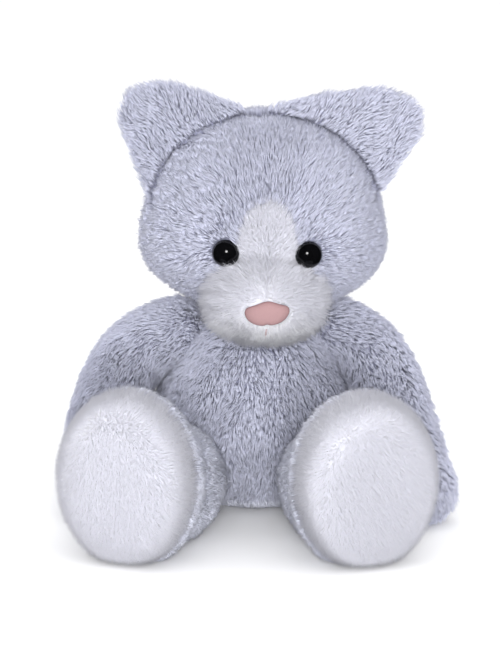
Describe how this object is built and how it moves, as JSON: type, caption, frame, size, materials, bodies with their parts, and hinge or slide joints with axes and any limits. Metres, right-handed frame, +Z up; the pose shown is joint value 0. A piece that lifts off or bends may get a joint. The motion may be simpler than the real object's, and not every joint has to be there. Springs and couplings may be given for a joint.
{
  "type": "plush cat",
  "caption": "Sitting soft plush cat with a round head, blaze face, long arms, splayed feet with pale soles and a curled tail.",
  "frame": {"origin": "centre of the flat seat face, on the resting plane", "axes": "+Z up, -Y the way the face and soles point, +X to the right of someone looking at the face"},
  "size_m": [0.2, 0.2158, 0.2229],
  "materials": {
    "grey_plush": "soft pile",
    "white_plush": "soft pile",
    "polyester_fibre": "loose fibre",
    "pink_suede": "brushed",
    "eye_plastic": "gloss",
    "washer_plastic": "matt",
    "grey_thread": "thread",
    "pink_thread": "thread",
    "pouch_cloth": "plain weave"
  },
  "bodies": {
    "torso": {"torso_front_left": "grey_plush", "torso_front_right": "grey_plush", "torso_back_left": "grey_plush", "torso_back_right": "grey_plush", "base_panel": "grey_plush", "torso_stuffing": "polyester_fibre", "pellet_pouch": "pouch_cloth", "back_closing_stitch": "grey_thread"},
    "neck": {"neck_stitching": "grey_thread"},
    "head": {"face_left": "grey_plush", "face_right": "grey_plush", "head_back_left": "grey_plush", "head_back_right": "grey_plush", "muzzle_left": "white_plush", "muzzle_right": "white_plush", "blaze_panel": "white_plush", "chin_panel": "white_plush", "head_stuffing": "polyester_fibre", "neck_stuffing": "polyester_fibre", "eye_left": "eye_plastic", "eye_right": "eye_plastic", "eye_washer_left": "washer_plastic", "eye_washer_right": "washer_plastic", "nose_patch": "pink_suede", "mouth_stitch": "pink_thread"},
    "ear_left": {"ear_front_left": "grey_plush", "ear_back_left": "grey_plush"},
    "ear_right": {"ear_front_right": "grey_plush", "ear_back_right": "grey_plush"},
    "shoulder_left": {"shoulder_stitching_left": "grey_thread"},
    "arm_left": {"arm_front_left": "grey_plush", "arm_back_left": "grey_plush", "arm_stuffing_left": "polyester_fibre"},
    "shoulder_right": {"shoulder_stitching_right": "grey_thread"},
    "arm_right": {"arm_front_right": "grey_plush", "arm_back_right": "grey_plush", "arm_stuffing_right": "polyester_fibre"},
    "hip_left": {"hip_stitching_left": "grey_thread"},
    "leg_left": {"leg_inner_left": "grey_plush", "leg_outer_left": "grey_plush", "sole_left": "white_plush", "leg_stuffing_left": "polyester_fibre"},
    "hip_right": {"hip_stitching_right": "grey_thread"},
    "leg_right": {"leg_inner_right": "grey_plush", "leg_outer_right": "grey_plush", "sole_right": "white_plush", "leg_stuffing_right": "polyester_fibre"},
    "tail_root": {"tail_stitching": "grey_thread"},
    "tail": {"tail_upper": "grey_plush", "tail_lower": "grey_plush", "tail_stuffing": "polyester_fibre"}
  },
  "joints": [
    {"name": "neck_turn", "type": "hinge", "parent": "torso", "child": "neck", "pos_m": [0.0017, 0.004, 0.106], "axis": [0, 0, 1], "range_deg": [-30, 30], "stiffness_Nm_per_rad": 0.5},
    {"name": "neck_nod", "type": "hinge", "parent": "neck", "child": "head", "pos_m": [0.0017, 0.004, 0.106], "axis": [1, 0, 0], "range_deg": [-18, 8], "stiffness_Nm_per_rad": 1.5},
    {"name": "ear_fold_left", "type": "hinge", "parent": "head", "child": "ear_left", "pos_m": [-0.03486, -0.01329, 0.1965], "axis": [0.8034, 0.0281, 0.5948], "range_deg": [-15, 15], "stiffness_Nm_per_rad": 0.05},
    {"name": "ear_fold_right", "type": "hinge", "parent": "head", "child": "ear_right", "pos_m": [0.04406, -0.01053, 0.19443], "axis": [0.6491, 0.0227, -0.7604], "range_deg": [-15, 15], "stiffness_Nm_per_rad": 0.05},
    {"name": "shoulder_raise_left", "type": "hinge", "parent": "torso", "child": "shoulder_left", "pos_m": [-0.042, 0, 0.091], "axis": [0, 1, 0], "range_deg": [0, 48], "stiffness_Nm_per_rad": 0.4},
    {"name": "shoulder_swing_left", "type": "hinge", "parent": "shoulder_left", "child": "arm_left", "pos_m": [-0.042, 0, 0.091], "axis": [-1, 0, 0], "range_deg": [-25, 5], "stiffness_Nm_per_rad": 0.4},
    {"name": "shoulder_raise_right", "type": "hinge", "parent": "torso", "child": "shoulder_right", "pos_m": [0.042, 0, 0.091], "axis": [0, -1, 0], "range_deg": [0, 48], "stiffness_Nm_per_rad": 0.4},
    {"name": "shoulder_swing_right", "type": "hinge", "parent": "shoulder_right", "child": "arm_right", "pos_m": [0.042, 0, 0.091], "axis": [-1, 0, 0], "range_deg": [-25, 5], "stiffness_Nm_per_rad": 0.4},
    {"name": "hip_splay_left", "type": "hinge", "parent": "torso", "child": "hip_left", "pos_m": [-0.034, -0.04, 0.024], "axis": [0, 0, -1], "range_deg": [-8, 5], "stiffness_Nm_per_rad": 0.6},
    {"name": "hip_lift_left", "type": "hinge", "parent": "hip_left", "child": "leg_left", "pos_m": [-0.034, -0.04, 0.024], "axis": [-0.9205, 0.3907, 0], "range_deg": [-8, 16], "stiffness_Nm_per_rad": 0.6},
    {"name": "hip_splay_right", "type": "hinge", "parent": "torso", "child": "hip_right", "pos_m": [0.031, -0.041, 0.024], "axis": [0, 0, 1], "range_deg": [-8, 5], "stiffness_Nm_per_rad": 0.6},
    {"name": "hip_lift_right", "type": "hinge", "parent": "hip_right", "child": "leg_right", "pos_m": [0.031, -0.041, 0.024], "axis": [-0.9613, -0.2756, 0], "range_deg": [-8, 16], "stiffness_Nm_per_rad": 0.6},
    {"name": "tail_sweep", "type": "hinge", "parent": "torso", "child": "tail_root", "pos_m": [0.0085, 0.0515, 0.016], "axis": [0, 0, 1], "range_deg": [-8, 60], "stiffness_Nm_per_rad": 0.1},
    {"name": "tail_lift", "type": "hinge", "parent": "tail_root", "child": "tail", "pos_m": [0.0085, 0.0515, 0.016], "axis": [0, -1, 0], "range_deg": [0, 40], "stiffness_Nm_per_rad": 0.1}
  ]
}
